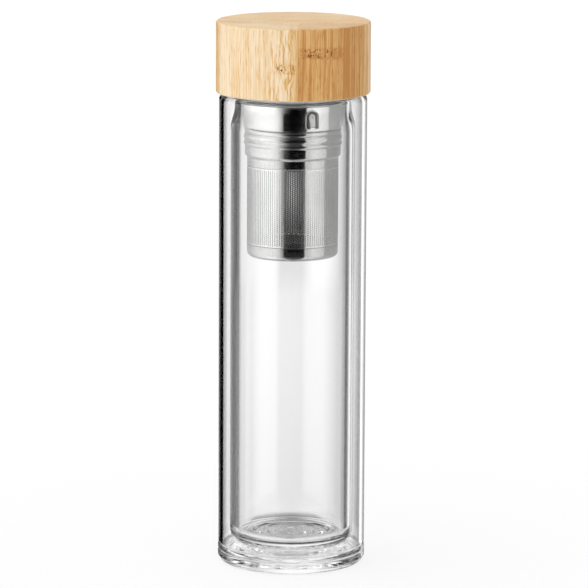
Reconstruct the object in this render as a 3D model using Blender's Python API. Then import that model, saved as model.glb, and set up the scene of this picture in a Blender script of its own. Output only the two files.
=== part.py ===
"""Glass tea infuser bottle: double-walled glass, bamboo screw lid, steel infuser in two halves.

Metres, +Z up. The origin is the centre of the foot, on the surface that the bottle stands on.
The viewer of the reference view looks along +Y.
"""

import math

import bmesh
import bpy
from mathutils import Matrix, Vector

# Gaps between pieces
SEAM_GAP = 0.0003          # between pieces that are fused, glued or seated on each other
THREAD_CLEARANCE = 0.0004  # radial, between a thread's crest and the other thread's root
THREAD_AXIAL_GAP = 0.0005  # between the flanks that bear on each other
LID_CLEARANCE = 0.0010     # between the glass shoulder and the underside of the lid
INFUSER_CLEARANCE = 0.0012 # between the infuser's collar and the bore of the glass

# Glass
GLASS_RADIUS = 0.0325
JACKET_WALL = 0.0020
AIR_GAP = 0.0032           # between the jacket and the liner
LINER_WALL = 0.0037
NECK_WALL = 0.0020
SHOULDER_HEIGHT = 0.2090   # top of the jacket above the table
SHOULDER_ROUNDING = 0.0028
SHOULDER_WEB = 0.0023      # thickness of the glass that joins jacket and neck
SHOULDER_FILLET = 0.0020
NECK_HEIGHT = 0.0207       # neck above the shoulder
NECK_WAIST = 0.0057        # from the shoulder down to where the liner is narrowest
NECK_TAPER = 0.0083        # height over which the liner narrows to the neck
RIM_ROUNDING = 0.0006
LINER_LIFT = 0.0023        # air under the liner
LINER_FLOOR = 0.0042
LINER_OUTER_CORNER = 0.0065
LINER_INNER_CORNER = 0.0050
FOOT_HEIGHT = 0.0063
FOOT_ROUNDING = 0.0030
FOOT_GROOVE_HEIGHT = 0.0034
FOOT_GROOVE_WIDTH = 0.0008
FOOT_GROOVE_DEPTH = 0.0003
FOOT_RING_WIDTH = 0.0080   # flat ring that the bottle stands on
FOOT_HOLLOW_DEPTH = 0.0014
FOOT_NUB_RADIUS = 0.0035   # sealed tip in the middle of the hollow, where the air was drawn off
FOOT_NUB_DROP = 0.0006

# Screw thread, two starts
THREAD_DEPTH = 0.0014
THREAD_ROOT_WIDTH = 0.0026
THREAD_CREST_WIDTH = 0.0011
THREAD_BURIED = 0.0005     # how far a ridge reaches into the wall that carries it
THREAD_LEAD = 0.0120       # rise of the lid in one turn
THREAD_FIRST = 0.0055      # start of the neck's ridges above the shoulder
THREAD_STARTS = 2
THREAD_SWEEP = math.radians(270)
THREAD_FADE_SHARE = 0.08

# Lid
LID_OVERHANG = 0.0014      # lid past the glass, in radius
LID_TOP = 0.0073           # bamboo over the cavity
LID_EDGE = 0.0009
INSERT_WALL = 0.0022
INSERT_INSET = 0.0004      # thread ring's lower edge above the lid's
GASKET_HEIGHT = 0.0020
GASKET_WIDTH = 0.0028
GASKET_CHAMFER = 0.0004
LINER_DISC = 0.0008

# Infuser
SHEET = 0.0005             # steel sheet
FLANGE_INSET = 0.0002      # flange's edge inside the neck's outer face
FLANGE_BEND = 0.0010
COLLAR_LENGTH = 0.0346     # below the glass rim
PLUG_LENGTH = 0.0100       # of the basket's rim, up inside the collar
WINDOW_WIDTH = 0.0054
WINDOW_HEIGHT = 0.0084
WINDOW_SILL = 0.0009       # metal under a window
TONGUE_WIDTH = 0.0030
TONGUE_SHORTER = 0.0014    # free space over a tongue
TONGUES = 3
FIRST_TONGUE = math.radians(-69.3)
BEAD_BAND = 0.0076
BEAD_SHARES = (0.29, 0.43, 0.28)
BEAD_DEPTH = 0.0005
RIM_BAND = 0.0042          # plain band under the beads
RIM_STEP = 0.0014
RIM_STEP_IN = 0.0010
RIM_LOWER_BAND = 0.0031
SLEEVE_HEIGHT = 0.0344
BASE_HEIGHT = 0.0058
BASE_CORNER = 0.0025
BASE_LIP = 0.0048
FLOOR_INSET = 0.0021       # floor disc's edge inside the sleeve's outer face
FLOOR_SHEET = 0.0004
FLOOR_CENTRE = 0.0060      # plain middle of the floor disc
SLEEVE_COLUMNS = 28
SLEEVE_ROWS = 6
FLOOR_COLUMNS = 16
FLOOR_ROWS = 2
MESH_BAR = 0.0017          # metal left between a hole and the edge of its cell

# Faceting
SIDES = 48
ARC_STEPS = 4
THREAD_STEPS = 36
TURN = 2 * math.pi
MERGE = 0.000001
SHARP = math.radians(35)
CUTTER_OVERRUN = 0.0020

# Radii that follow
BORE = GLASS_RADIUS - JACKET_WALL - AIR_GAP - LINER_WALL
LINER_RADIUS = BORE + LINER_WALL
NECK_RADIUS = BORE + NECK_WALL
NECK_CREST = NECK_RADIUS + THREAD_DEPTH
INSERT_BORE = NECK_CREST + THREAD_CLEARANCE
INSERT_CREST = INSERT_BORE - THREAD_DEPTH
INSERT_RADIUS = INSERT_BORE + INSERT_WALL
LID_BORE = INSERT_RADIUS + SEAM_GAP
LID_RADIUS = GLASS_RADIUS + LID_OVERHANG
COLLAR_RADIUS = BORE - INFUSER_CLEARANCE
COLLAR_BORE = COLLAR_RADIUS - SHEET
PLUG_RADIUS = COLLAR_BORE - SEAM_GAP
SLEEVE_RADIUS = PLUG_RADIUS - BEAD_DEPTH - RIM_STEP_IN
FLANGE_RADIUS = NECK_RADIUS - FLANGE_INSET

# Heights that follow
RIM_HEIGHT = SHOULDER_HEIGHT + NECK_HEIGHT
FLANGE_UNDER = RIM_HEIGHT + SEAM_GAP
FLANGE_OVER = FLANGE_UNDER + SHEET
GASKET_UNDER = FLANGE_OVER + SEAM_GAP
GASKET_OVER = GASKET_UNDER + GASKET_HEIGHT
DISC_UNDER = GASKET_OVER + SEAM_GAP
DISC_OVER = DISC_UNDER + LINER_DISC
CAVITY_TOP = DISC_OVER + SEAM_GAP
LID_UNDER = SHOULDER_HEIGHT + LID_CLEARANCE
COLLAR_END = FLANGE_UNDER - COLLAR_LENGTH
BEADS_TOP = COLLAR_END - SEAM_GAP
BEADS_END = BEADS_TOP - BEAD_BAND
RIM_BAND_END = BEADS_END - RIM_BAND
RIM_STEP_END = RIM_BAND_END - RIM_STEP
RIM_END = RIM_STEP_END - RIM_LOWER_BAND
SLEEVE_TOP = RIM_END - SEAM_GAP
SLEEVE_END = SLEEVE_TOP - SLEEVE_HEIGHT
BASE_TOP = SLEEVE_END - SEAM_GAP
BASE_END = BASE_TOP - BASE_HEIGHT
WINDOW_BOTTOM = COLLAR_END + WINDOW_SILL
TONGUE_ROOT = WINDOW_BOTTOM + SEAM_GAP


def clear_scene():
    for thing in list(bpy.data.objects):
        bpy.data.objects.remove(thing, do_unlink=True)


def material(name, colour, roughness, metallic=0.0, transmission=0.0):
    """A Principled material of its own for one piece."""
    made = bpy.data.materials.new(name)
    made.use_nodes = True
    shader = made.node_tree.nodes["Principled BSDF"]
    shader.inputs["Base Color"].default_value = (*colour, 1)
    shader.inputs["Roughness"].default_value = roughness
    shader.inputs["Metallic"].default_value = metallic
    shader.inputs["Transmission Weight"].default_value = transmission
    made.diffuse_color = (*colour, 1)
    return made


def glass(name):
    return material(name, (0.93, 0.96, 0.95), 0.02, transmission=1.0)


def steel(name):
    return material(name, (0.78, 0.78, 0.77), 0.22, metallic=1.0)


def bamboo(name):
    return material(name, (0.80, 0.55, 0.28), 0.45)


def silicone(name):
    return material(name, (0.86, 0.86, 0.84), 0.55)


def moulded(name):
    return material(name, (0.70, 0.70, 0.69), 0.40)


def add_object(name, shape, surface=None):
    """Turns a bmesh into an object with smooth round faces."""
    bmesh.ops.recalc_face_normals(shape, faces=shape.faces)
    mesh = bpy.data.meshes.new(name)
    shape.to_mesh(mesh)
    shape.free()
    mesh.shade_smooth()
    mesh.set_sharp_from_angle(angle=SHARP)
    made = bpy.data.objects.new(name, mesh)
    bpy.context.scene.collection.objects.link(made)
    if surface:
        made.data.materials.append(surface)
    return made


def helper(made):
    """Keeps a cutter or guide out of the model itself."""
    made.hide_render = True
    made.display_type = "WIRE"
    return made


def axis_empty(name, height=0.0):
    made = bpy.data.objects.new(name, None)
    made.location = (0, 0, height)
    bpy.context.scene.collection.objects.link(made)
    return made


def attach(child, parent):
    """Parents a piece and leaves it where it is."""
    bpy.context.view_layer.update()
    child.parent = parent
    child.matrix_parent_inverse = parent.matrix_world.inverted()


def arc(radius, height, rounding, first, last, steps=ARC_STEPS):
    """Points of a round corner about (radius, height), from angle first to last in degrees."""
    angles = [math.radians(first + (last - first) * step / steps) for step in range(steps + 1)]
    return [(radius + rounding * math.cos(a), height + rounding * math.sin(a)) for a in angles]


def spun(points, closed, sides=SIDES):
    """Spins an outline of (radius, height) points once round +Z."""
    shape = bmesh.new()
    verts = [shape.verts.new((radius, 0, height)) for radius, height in points]
    pairs = list(zip(verts, verts[1:]))
    if closed:
        pairs.append((verts[-1], verts[0]))
    edges = [shape.edges.new(pair) for pair in pairs if pair[0].co.x or pair[1].co.x]
    bmesh.ops.spin(shape, geom=verts + edges, cent=(0, 0, 0), axis=(0, 0, 1), angle=TURN,
                   steps=sides, use_merge=True, use_duplicate=False)
    bmesh.ops.remove_doubles(shape, verts=shape.verts, dist=MERGE)
    return shape


def turned(name, outline, surface):
    """A closed solid of revolution. An outline that starts and ends on the axis has no bore."""
    return add_object(name, spun(outline, closed=True), surface)


def outer_glass():
    """The jacket: a straight tube whose shoulder turns in to the neck."""
    inner = GLASS_RADIUS - JACKET_WALL
    foot = FOOT_HEIGHT + SEAM_GAP
    web_under = SHOULDER_HEIGHT - SHOULDER_WEB
    web_edge = NECK_RADIUS + SEAM_GAP
    outline = [(inner, foot), (GLASS_RADIUS, foot)]
    outline += arc(GLASS_RADIUS - SHOULDER_ROUNDING, SHOULDER_HEIGHT - SHOULDER_ROUNDING,
                   SHOULDER_ROUNDING, 0, 90)
    outline += [(web_edge, SHOULDER_HEIGHT), (web_edge, web_under)]
    outline += arc(inner - SHOULDER_FILLET, web_under - SHOULDER_FILLET, SHOULDER_FILLET, 90, 0)
    return turned("outer_glass", outline, glass("outer_glass"))


def neck_curve(steps=6):
    """The liner narrows into the neck along a smooth S."""
    top = SHOULDER_HEIGHT - NECK_WAIST
    points = []
    for step in range(steps + 1):
        share = step / steps
        ease = share * share * (3 - 2 * share)
        radius = LINER_RADIUS + (NECK_RADIUS - LINER_RADIUS) * ease
        points.append((radius, top - NECK_TAPER * (1 - share)))
    return points


def thread_ridge(shape, wall, crest, first_height, first_angle):
    """Sweeps one start of a thread, from inside its wall to its crest, fading at both ends.

    wall is the radius of the face that carries the ridge. A crest smaller than the wall
    makes an inside thread.
    """
    out = math.copysign(1, crest - wall)
    buried = wall - out * THREAD_BURIED
    flare = (THREAD_ROOT_WIDTH - THREAD_CREST_WIDTH) / 2 * THREAD_BURIED / THREAD_DEPTH
    half_buried = THREAD_ROOT_WIDTH / 2 + flare
    half_crest = THREAD_CREST_WIDTH / 2
    rings = []
    for step in range(THREAD_STEPS + 1):
        share = step / THREAD_STEPS
        angle = first_angle + THREAD_SWEEP * share
        height = first_height + THREAD_LEAD * THREAD_SWEEP * share / TURN
        rise = min(1, share / THREAD_FADE_SHARE, (1 - share) / THREAD_FADE_SHARE)
        start = THREAD_BURIED / (THREAD_BURIED + THREAD_DEPTH) * 0.6
        top = buried + (crest - buried) * (start + (1 - start) * rise)
        section = [(buried, -half_buried), (top, -half_crest), (top, half_crest),
                   (buried, half_buried)]
        rings.append([shape.verts.new((r * math.cos(angle), r * math.sin(angle), height + z))
                      for r, z in section])
    for low, high in zip(rings, rings[1:]):
        for corner in range(4):
            other = (corner + 1) % 4
            shape.faces.new((low[corner], low[other], high[other], high[corner]))
    shape.faces.new(rings[0])
    shape.faces.new(reversed(rings[-1]))


def thread(name, wall, crest, first_height):
    """All starts of a thread, as a helper that a Boolean joins to its wall."""
    shape = bmesh.new()
    for start in range(THREAD_STARTS):
        thread_ridge(shape, wall, crest, first_height, TURN * start / THREAD_STARTS)
    return helper(add_object(name, shape))


def combine(target, other, operation):
    change = target.modifiers.new(operation.title(), "BOOLEAN")
    change.operation = operation
    change.solver = "EXACT"
    change.object = other


def inner_glass():
    """The liner: a thick tube with a round-cornered floor, and the threaded neck on top."""
    under = FOOT_HEIGHT + LINER_LIFT
    floor = under + LINER_FLOOR
    outline = [(0, under)]
    outline += arc(LINER_RADIUS - LINER_OUTER_CORNER, under + LINER_OUTER_CORNER,
                   LINER_OUTER_CORNER, -90, 0)
    outline += neck_curve()
    outline += arc(NECK_RADIUS - RIM_ROUNDING, RIM_HEIGHT - RIM_ROUNDING, RIM_ROUNDING, 0, 90, 2)
    outline += arc(BORE + RIM_ROUNDING, RIM_HEIGHT - RIM_ROUNDING, RIM_ROUNDING, 90, 180, 2)
    outline += arc(BORE - LINER_INNER_CORNER, floor + LINER_INNER_CORNER,
                   LINER_INNER_CORNER, 0, -90)
    outline += [(0, floor)]
    made = turned("inner_glass", outline, glass("inner_glass"))
    ridges = thread("neck_thread", NECK_RADIUS, NECK_CREST, SHOULDER_HEIGHT + THREAD_FIRST)
    combine(made, ridges, "UNION")
    return made


def base_glass():
    """The thick foot: rounded lower edge, one fused groove, and a shallow hollow underneath."""
    ring_outer = GLASS_RADIUS - FOOT_ROUNDING
    hollow = ring_outer - FOOT_RING_WIDTH
    groove_half = FOOT_GROOVE_WIDTH / 2
    outline = [(0, FOOT_HEIGHT), (GLASS_RADIUS, FOOT_HEIGHT),
               (GLASS_RADIUS, FOOT_GROOVE_HEIGHT + groove_half),
               (GLASS_RADIUS - FOOT_GROOVE_DEPTH, FOOT_GROOVE_HEIGHT),
               (GLASS_RADIUS, FOOT_GROOVE_HEIGHT - groove_half)]
    outline += arc(ring_outer, min(FOOT_ROUNDING, FOOT_GROOVE_HEIGHT - groove_half),
                   FOOT_ROUNDING, 0, -90)[1:]
    for step in range(ARC_STEPS + 1):
        share = step / ARC_STEPS
        radius = hollow + (FOOT_NUB_RADIUS - hollow) * share
        outline.append((radius, FOOT_HOLLOW_DEPTH * math.sin(share * TURN / 4)))
    outline.append((0, FOOT_HOLLOW_DEPTH - FOOT_NUB_DROP))
    return turned("base_glass", outline, glass("base_glass"))


def bamboo_cap():
    """The turned lid, hollow from below."""
    top = CAVITY_TOP + LID_TOP
    core = LID_RADIUS - LID_EDGE
    outline = [(0, top)]
    outline += arc(core, top - LID_EDGE, LID_EDGE, 90, 0, 3)
    outline += arc(core, LID_UNDER + LID_EDGE, LID_EDGE, 0, -90, 3)
    outline += [(LID_BORE, LID_UNDER), (LID_BORE, CAVITY_TOP), (0, CAVITY_TOP)]
    return turned("bamboo_cap", outline, bamboo("bamboo_cap"))


def thread_nesting():
    """How far the lid's ridges lie below the neck's when the lid is tight."""
    slope = (THREAD_ROOT_WIDTH - THREAD_CREST_WIDTH) / 2 / THREAD_DEPTH
    touching = (THREAD_ROOT_WIDTH + THREAD_CREST_WIDTH) / 2 - slope * THREAD_CLEARANCE
    return touching + THREAD_AXIAL_GAP


def lid_thread_ring():
    """The insert in the bamboo, with the inside thread."""
    low = LID_UNDER + INSERT_INSET
    outline = [(INSERT_BORE, low), (INSERT_RADIUS, low), (INSERT_RADIUS, GASKET_OVER),
               (INSERT_BORE, GASKET_OVER)]
    made = turned("lid_thread_ring", outline, moulded("lid_thread_ring"))
    ridges = thread("lid_thread", INSERT_BORE, INSERT_CREST,
                    SHOULDER_HEIGHT + THREAD_FIRST - thread_nesting())
    combine(made, ridges, "UNION")
    return made


def lid_gasket():
    """The silicone ring between the liner disc and the infuser's flange."""
    outer = INSERT_BORE - THREAD_CLEARANCE
    inner = outer - GASKET_WIDTH
    chamfer = GASKET_CHAMFER
    outline = [(inner, GASKET_UNDER + chamfer), (inner + chamfer, GASKET_UNDER),
               (outer - chamfer, GASKET_UNDER), (outer, GASKET_UNDER + chamfer),
               (outer, GASKET_OVER), (inner, GASKET_OVER)]
    return turned("lid_gasket", outline, silicone("lid_gasket"))


def lid_liner_disc():
    """The steel disc that keeps tea off the bamboo."""
    radius = LID_BORE - SEAM_GAP
    outline = [(0, DISC_UNDER), (radius, DISC_UNDER), (radius, DISC_OVER), (0, DISC_OVER)]
    return turned("lid_liner_disc", outline, steel("lid_liner_disc"))


def arch(width, bottom, top, steps=6):
    """A door shape: straight sides, and a half round on top, as (across, height) points."""
    half = width / 2
    spring = top - half
    points = [(-half, bottom), (half, bottom)]
    return points + arc(0, spring, half, 0, 180, steps)


def radial_prism(name, outline, inner, outer, angle):
    """Pushes a flat outline out along the radius at the given angle round +Z."""
    shape = bmesh.new()
    face = shape.faces.new([shape.verts.new((inner, across, up)) for across, up in outline])
    pushed = bmesh.ops.extrude_face_region(shape, geom=[face])["geom"]
    moved = [item for item in pushed if isinstance(item, bmesh.types.BMVert)]
    bmesh.ops.translate(shape, verts=moved, vec=(outer - inner, 0, 0))
    bmesh.ops.rotate(shape, verts=shape.verts, cent=(0, 0, 0), matrix=Matrix.Rotation(angle, 3, "Z"))
    return add_object(name, shape)


def tongue_angles():
    return [FIRST_TONGUE + TURN * index / TONGUES for index in range(TONGUES)]


def infuser_collar():
    """The tube that hangs from the glass rim by its flange, with a window for each tongue."""
    over_window = WINDOW_BOTTOM + WINDOW_HEIGHT + WINDOW_SILL
    outline = [(COLLAR_BORE, COLLAR_END), (COLLAR_RADIUS, COLLAR_END),
               (COLLAR_RADIUS, over_window), (COLLAR_RADIUS, FLANGE_UNDER),
               (FLANGE_RADIUS, FLANGE_UNDER), (FLANGE_RADIUS, FLANGE_OVER),
               (COLLAR_BORE + FLANGE_BEND, FLANGE_OVER), (COLLAR_BORE, FLANGE_OVER - FLANGE_BEND),
               (COLLAR_BORE, over_window)]
    made = turned("infuser_collar", outline, steel("infuser_collar"))
    window = arch(WINDOW_WIDTH, WINDOW_BOTTOM, WINDOW_BOTTOM + WINDOW_HEIGHT)
    for index, angle in enumerate(tongue_angles(), 1):
        cutter = radial_prism(f"window_cutter_{index}", window, COLLAR_BORE - CUTTER_OVERRUN,
                              COLLAR_RADIUS + CUTTER_OVERRUN, angle)
        combine(made, helper(cutter), "DIFFERENCE")
    return made


def spring_tongues():
    """One tongue in each window: a strip of the collar's own wall, free at the top."""
    wall = [(COLLAR_BORE, COLLAR_END), (COLLAR_RADIUS, COLLAR_END),
            (COLLAR_RADIUS, FLANGE_UNDER), (COLLAR_BORE, FLANGE_UNDER)]
    guide = helper(turned("tongue_wall_guide", wall, None))
    top = WINDOW_BOTTOM + WINDOW_HEIGHT - TONGUE_SHORTER
    made = []
    for index, angle in enumerate(tongue_angles(), 1):
        tongue = radial_prism(f"spring_tongue_{index}", arch(TONGUE_WIDTH, TONGUE_ROOT, top),
                              COLLAR_BORE - CUTTER_OVERRUN, COLLAR_RADIUS + CUTTER_OVERRUN, angle)
        tongue.data.materials.append(steel(f"spring_tongue_{index}"))
        root = Vector((math.cos(angle), math.sin(angle), 0)) * (COLLAR_RADIUS - SHEET / 2)
        root.z = TONGUE_ROOT
        tongue.data.transform(Matrix.Translation(-root))
        tongue.location = root
        combine(tongue, guide, "INTERSECT")
        made.append(tongue)
    return made


def bead_points():
    """The rolled beads down the outside of the rim, each a half wave."""
    points = []
    top = BEADS_TOP
    for share in BEAD_SHARES:
        height = BEAD_BAND * share
        for step in range(ARC_STEPS):
            swell = math.sin(math.pi * step / ARC_STEPS)
            points.append((PLUG_RADIUS - BEAD_DEPTH * (1 - swell), top - height * step / ARC_STEPS))
        top -= height
    return points


def basket_rim():
    """The basket's ring: a plug inside the collar, three beads, then two plain bands."""
    plug_top = COLLAR_END + PLUG_LENGTH
    band = PLUG_RADIUS - BEAD_DEPTH
    inside = band - SHEET
    outline = [(PLUG_RADIUS - SHEET, plug_top), (PLUG_RADIUS, plug_top - SHEET)]
    outline += [(PLUG_RADIUS, COLLAR_END)]
    outline += bead_points()
    outline += [(band, BEADS_END), (band, RIM_BAND_END), (SLEEVE_RADIUS, RIM_STEP_END),
                (SLEEVE_RADIUS, RIM_END), (SLEEVE_RADIUS - SHEET, RIM_END),
                (SLEEVE_RADIUS - SHEET, RIM_STEP_END + SHEET), (inside, RIM_BAND_END + SHEET),
                (inside, BEADS_TOP), (PLUG_RADIUS - 2 * SHEET, COLLAR_END + SHEET),
                (PLUG_RADIUS - 2 * SHEET, plug_top)]
    return turned("basket_rim", outline, steel("basket_rim"))


def perforate(shape, keep):
    """Opens a hole in the middle of each face but those that keep() names."""
    cells = [face for face in shape.faces if not keep(face)]
    bmesh.ops.inset_individual(shape, faces=cells, thickness=MESH_BAR / 2, use_even_offset=True)
    bmesh.ops.delete(shape, geom=cells, context="FACES_ONLY")


def thicken(made, thickness):
    """Gives a sheet its thickness on the side away from its faces."""
    change = made.modifiers.new("Solidify", "SOLIDIFY")
    change.thickness = thickness
    change.offset = -1
    change.use_even_offset = True


def basket_sleeve():
    """The perforated sleeve, with fewer and larger holes than the real sheet."""
    levels = [SLEEVE_TOP - SLEEVE_HEIGHT * row / SLEEVE_ROWS for row in range(SLEEVE_ROWS + 1)]
    shape = spun([(SLEEVE_RADIUS, level) for level in levels], closed=False, sides=SLEEVE_COLUMNS)
    perforate(shape, keep=lambda face: False)
    made = add_object("basket_sleeve", shape, steel("basket_sleeve"))
    thicken(made, SHEET)
    return made


def basket_base():
    """The pressed ring that closes the sleeve's lower end and carries the floor."""
    core = SLEEVE_RADIUS - BASE_CORNER
    inner_corner = BASE_CORNER - SHEET
    outline = [(SLEEVE_RADIUS, BASE_TOP)]
    outline += arc(core, BASE_END + BASE_CORNER, BASE_CORNER, 0, -90)
    outline += [(SLEEVE_RADIUS - BASE_LIP, BASE_END), (SLEEVE_RADIUS - BASE_LIP, BASE_END + SHEET)]
    outline += arc(core, BASE_END + BASE_CORNER, inner_corner, -90, 0)
    outline += [(SLEEVE_RADIUS - SHEET, BASE_TOP)]
    return turned("basket_base", outline, steel("basket_base"))


def basket_floor():
    """The perforated disc that lies on the base's lip."""
    radius = SLEEVE_RADIUS - FLOOR_INSET
    level = BASE_END + SHEET + SEAM_GAP + FLOOR_SHEET
    rings = [radius + (FLOOR_CENTRE - radius) * row / FLOOR_ROWS for row in range(FLOOR_ROWS + 1)]
    points = [(0, level)] + [(ring, level) for ring in reversed(rings)]
    shape = spun(points, closed=False, sides=FLOOR_COLUMNS)
    bmesh.ops.recalc_face_normals(shape, faces=shape.faces)
    if shape.faces[0].normal.z < 0:
        bmesh.ops.reverse_faces(shape, faces=shape.faces)
    perforate(shape, keep=lambda face: len(face.verts) == 3)
    made = add_object("basket_floor", shape, steel("basket_floor"))
    thicken(made, FLOOR_SHEET)
    return made


def assemble():
    """Builds every piece and hangs it on the axis that it moves about."""
    bottle = axis_empty("bottle_axis")
    infuser = axis_empty("infuser_axis", FLANGE_UNDER)
    basket = axis_empty("basket_axis", COLLAR_END)
    gasket = axis_empty("gasket_axis", GASKET_UNDER)
    disc = axis_empty("disc_axis", DISC_UNDER)
    lid = axis_empty("lid_axis", LID_UNDER)
    attach(infuser, bottle)
    attach(basket, infuser)
    attach(gasket, infuser)
    attach(disc, gasket)
    attach(lid, disc)
    for piece in (outer_glass(), inner_glass(), base_glass()):
        attach(piece, bottle)
    for piece in (infuser_collar(), *spring_tongues()):
        attach(piece, infuser)
    for piece in (basket_rim(), basket_sleeve(), basket_base(), basket_floor()):
        attach(piece, basket)
    attach(lid_gasket(), gasket)
    attach(lid_liner_disc(), disc)
    for piece in (bamboo_cap(), lid_thread_ring()):
        attach(piece, lid)


clear_scene()
assemble()
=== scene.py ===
# %% [markdown]
# # A glass tea infuser bottle
# This lesson dresses a double-walled glass bottle with a bamboo lid and a steel tea
# infuser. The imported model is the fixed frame: it says where each part is and how big.
# The pieces that the eye judges are made again here with finer shapes, and each one
# rides on the body that it belongs to.

import math

import bmesh
import bpy
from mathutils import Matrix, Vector


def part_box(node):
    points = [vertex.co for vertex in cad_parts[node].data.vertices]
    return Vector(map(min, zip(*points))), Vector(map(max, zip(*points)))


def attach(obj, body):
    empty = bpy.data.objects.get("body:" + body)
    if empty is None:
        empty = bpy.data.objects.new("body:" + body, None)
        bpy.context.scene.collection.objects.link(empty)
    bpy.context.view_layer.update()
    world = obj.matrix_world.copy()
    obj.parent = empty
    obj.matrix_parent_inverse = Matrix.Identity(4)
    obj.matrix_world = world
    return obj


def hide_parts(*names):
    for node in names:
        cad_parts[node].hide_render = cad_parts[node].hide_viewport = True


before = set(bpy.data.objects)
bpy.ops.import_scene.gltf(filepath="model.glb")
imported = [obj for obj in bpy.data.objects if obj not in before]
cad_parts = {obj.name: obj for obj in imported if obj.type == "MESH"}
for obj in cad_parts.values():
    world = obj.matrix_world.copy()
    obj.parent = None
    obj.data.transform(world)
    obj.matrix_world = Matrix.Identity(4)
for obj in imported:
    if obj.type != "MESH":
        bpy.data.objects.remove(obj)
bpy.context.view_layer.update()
TURN = 2 * math.pi
MM = 0.001
print("nodes:", ", ".join(sorted(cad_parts)))

# %% [markdown]
# ## Sizes
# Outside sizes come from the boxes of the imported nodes, so the dressed bottle can't
# drift from the model. Walls can't be read from a box, so they are written here as real
# sizes. Lengths are in metres, and MM keeps them readable.

# %% Sizes read from the frame
def box_radius(node):
    """Half the width of a node that is round about the bottle's axis."""
    low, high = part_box(node)
    return (high.x - low.x) / 2


def box_levels(node):
    """How high a node's lowest and highest points are."""
    return tuple(corner.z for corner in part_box(node))


LID_ROOM = 0.3 * MM
GLASS_RADIUS = box_radius("outer_glass")
SHOULDER = box_levels("outer_glass")[1]
LINER_RADIUS = box_radius("inner_glass")
LINER_UNDER, RIM = box_levels("inner_glass")
FOOT_TOP = box_levels("base_glass")[1]
LID_RADIUS = box_radius("bamboo_cap")
LID_UNDER, LID_TOP = box_levels("bamboo_cap")
LID_BORE = box_radius("lid_liner_disc") + LID_ROOM
CAVITY_TOP = box_levels("lid_liner_disc")[1] + LID_ROOM
FLANGE_RADIUS = box_radius("infuser_collar")
COLLAR_END, FLANGE_TOP = box_levels("infuser_collar")
PLUG_RADIUS = box_radius("basket_rim")
RIM_RING_END, PLUG_TOP = box_levels("basket_rim")
SLEEVE_RADIUS = box_radius("basket_sleeve")
SLEEVE_END, SLEEVE_TOP = box_levels("basket_sleeve")
BASE_END, BASE_TOP = box_levels("basket_base")
FLOOR_RADIUS = box_radius("basket_floor")
FLOOR_LEVEL = box_levels("basket_floor")[1]
TONGUE_FOOT, TONGUE_TOP = box_levels("spring_tongue_1")

# %% Walls and sheets
JACKET_WALL = 2.0 * MM
LINER_WALL = 3.7 * MM
NECK_WALL = 2.0 * MM
LINER_FLOOR = 5.0 * MM
BORE = LINER_RADIUS - LINER_WALL
NECK_RADIUS = BORE + NECK_WALL
TONGUE_ROOM = 1.2 * MM
NECK_BORE = PLUG_RADIUS + TONGUE_ROOM
SHEET = 0.5 * MM
MESH_SHEET = 0.4 * MM
PLUG_ROOM = 0.3 * MM
COLLAR_RADIUS = PLUG_RADIUS + PLUG_ROOM + SHEET
print(f"glass {GLASS_RADIUS / MM:.1f} mm, bore {BORE / MM:.1f} mm, collar {COLLAR_RADIUS / MM:.1f} mm")

# %% [markdown]
# ## The camera
# The reference view looks down on the bottle a little, from far off with a long lens.
# Distance, height and tilt were found by setting the round edges of the lid and the
# foot against where they lie in the picture.

# %% The camera
VIEW_DISTANCE = 1.800
VIEW_HEIGHT = 0.4490
VIEW_ASIDE = -0.0008
VIEW_TILT = math.radians(10.358)
LENS = 253.4
VIEW_ROLL = math.radians(-0.28)


def add_object(name, data):
    """Puts a new object with this data in the scene."""
    made = bpy.data.objects.new(name, data)
    bpy.context.scene.collection.objects.link(made)
    return made


lens = bpy.data.cameras.new("camera")
lens.lens = LENS
camera = add_object("camera", lens)
camera.location = (VIEW_ASIDE, -VIEW_DISTANCE, VIEW_HEIGHT)
camera.rotation_euler = (math.radians(90) - VIEW_TILT, VIEW_ROLL, 0)
bpy.context.scene.camera = camera
print(f"camera {VIEW_DISTANCE:.2f} m away, {VIEW_HEIGHT:.2f} m up")

# %% [markdown]
# ## Shader maths in Python
# A node tree is easier to read as an expression. This class wraps one output socket:
# plus, minus, times and divide on it add Math nodes, and `node` adds any other kind.
# Colours never pass through a Math node, because that would turn them grey. They go
# through a Mix node, whose sockets for numbers, vectors and colours share their names,
# so the ones for colours are picked by their places: share, first, second, result.

# %% The wrapper for sockets
MIX_SOCKETS = (0, 6, 7, 2)


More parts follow.
